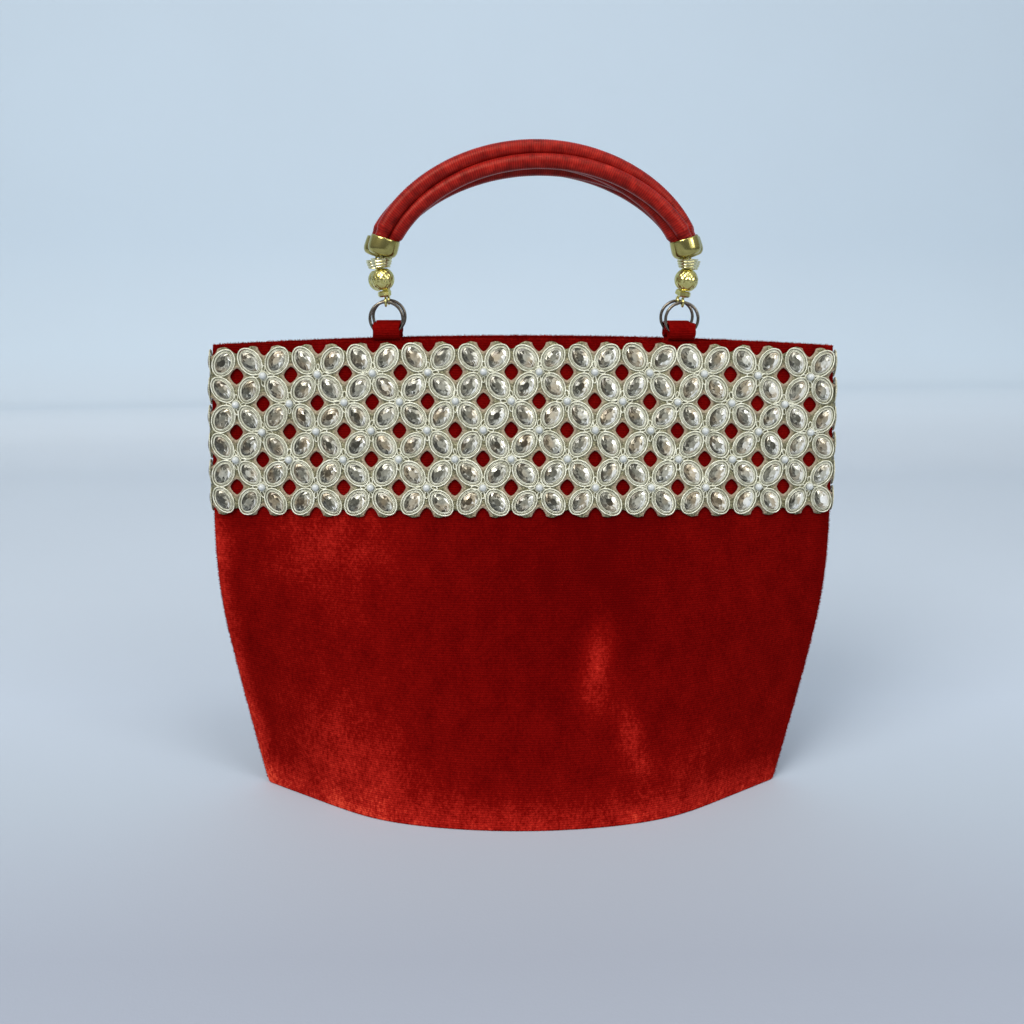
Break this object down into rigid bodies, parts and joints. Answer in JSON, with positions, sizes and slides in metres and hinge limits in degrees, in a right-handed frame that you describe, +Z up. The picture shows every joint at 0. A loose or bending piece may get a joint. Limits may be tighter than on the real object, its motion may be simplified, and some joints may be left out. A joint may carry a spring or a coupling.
{
  "type": "evening handbag",
  "caption": "Velvet evening handbag with a boat-shaped base, an embroidered net band of petals, stones and pearls, and arched wrapped handles on jump rings.",
  "frame": {"origin": "under the middle of the base, on the surface the bag stands on", "axes": "+Z up, +X along the mouth to the right seen from the front, front face towards -Y"},
  "size_m": [0.2806, 0.0944, 0.2919],
  "materials": {
    "velvet": "red velvet pile",
    "board": "grey board",
    "lining": "satin weave",
    "band": "metallic thread on net, with mirror-backed stones and pearls",
    "snap": "plated",
    "ring": "dark plated wire",
    "gold": "gold plated",
    "pale_gold": "pale gold plated",
    "brass": "olive brass",
    "thread": "satin thread wrapping"
  },
  "bodies": {
    "bag": {"base_panel": "velvet", "base_board": "board", "lining": "lining", "front_panel": "velvet", "back_panel": "velvet", "front_band": "band", "back_band": "band", "snap_socket": "snap", "snap_stud": "snap", "front_left_tab": "velvet", "front_right_tab": "velvet", "back_left_tab": "velvet", "back_right_tab": "velvet"},
    "front_left_ring": {"front_left_jump_ring": "ring"},
    "front_right_ring": {"front_right_jump_ring": "ring"},
    "front_handle": {"front_strand_1": "thread", "front_strand_2": "thread", "front_strand_3": "thread", "front_left_eye_pin": "gold", "front_left_small_bead": "gold", "front_left_ball_bead": "gold", "front_left_ridged_bead": "pale_gold", "front_left_end_cap": "brass", "front_right_eye_pin": "gold", "front_right_small_bead": "gold", "front_right_ball_bead": "gold", "front_right_ridged_bead": "pale_gold", "front_right_end_cap": "brass"},
    "back_left_ring": {"back_left_jump_ring": "ring"},
    "back_right_ring": {"back_right_jump_ring": "ring"},
    "back_handle": {"back_strand_1": "thread", "back_strand_2": "thread", "back_strand_3": "thread", "back_left_eye_pin": "gold", "back_left_small_bead": "gold", "back_left_ball_bead": "gold", "back_left_ridged_bead": "pale_gold", "back_left_end_cap": "brass", "back_right_eye_pin": "gold", "back_right_small_bead": "gold", "back_right_ball_bead": "gold", "back_right_ridged_bead": "pale_gold", "back_right_end_cap": "brass"}
  },
  "joints": [
    {"name": "front_left_ring_swing", "type": "hinge", "parent": "bag", "child": "front_left_ring", "pos_m": [-0.05895, -0.0066, 0.21486], "axis": [1, 0, 0], "range_deg": [0, 90]},
    {"name": "front_right_ring_swing", "type": "hinge", "parent": "bag", "child": "front_right_ring", "pos_m": [0.06695, -0.0066, 0.21486], "axis": [1, 0, 0], "range_deg": [0, 90]},
    {"name": "front_handle_swing", "type": "hinge", "parent": "front_left_ring", "child": "front_handle", "pos_m": [-0.05895, -0.0066, 0.22708], "axis": [1, 0, 0], "range_deg": [0, 72]},
    {"name": "back_left_ring_swing", "type": "hinge", "parent": "bag", "child": "back_left_ring", "pos_m": [-0.05895, 0.0066, 0.21486], "axis": [-1, 0, 0], "range_deg": [0, 90]},
    {"name": "back_right_ring_swing", "type": "hinge", "parent": "bag", "child": "back_right_ring", "pos_m": [0.06695, 0.0066, 0.21486], "axis": [-1, 0, 0], "range_deg": [0, 90]},
    {"name": "back_handle_swing", "type": "hinge", "parent": "back_left_ring", "child": "back_handle", "pos_m": [-0.05895, 0.0066, 0.22708], "axis": [-1, 0, 0], "range_deg": [0, 72]}
  ],
  "couplings": [
    {"joint": "front_right_ring_swing", "follows": "front_left_ring_swing", "ratio": 1},
    {"joint": "back_right_ring_swing", "follows": "back_left_ring_swing", "ratio": 1}
  ]
}
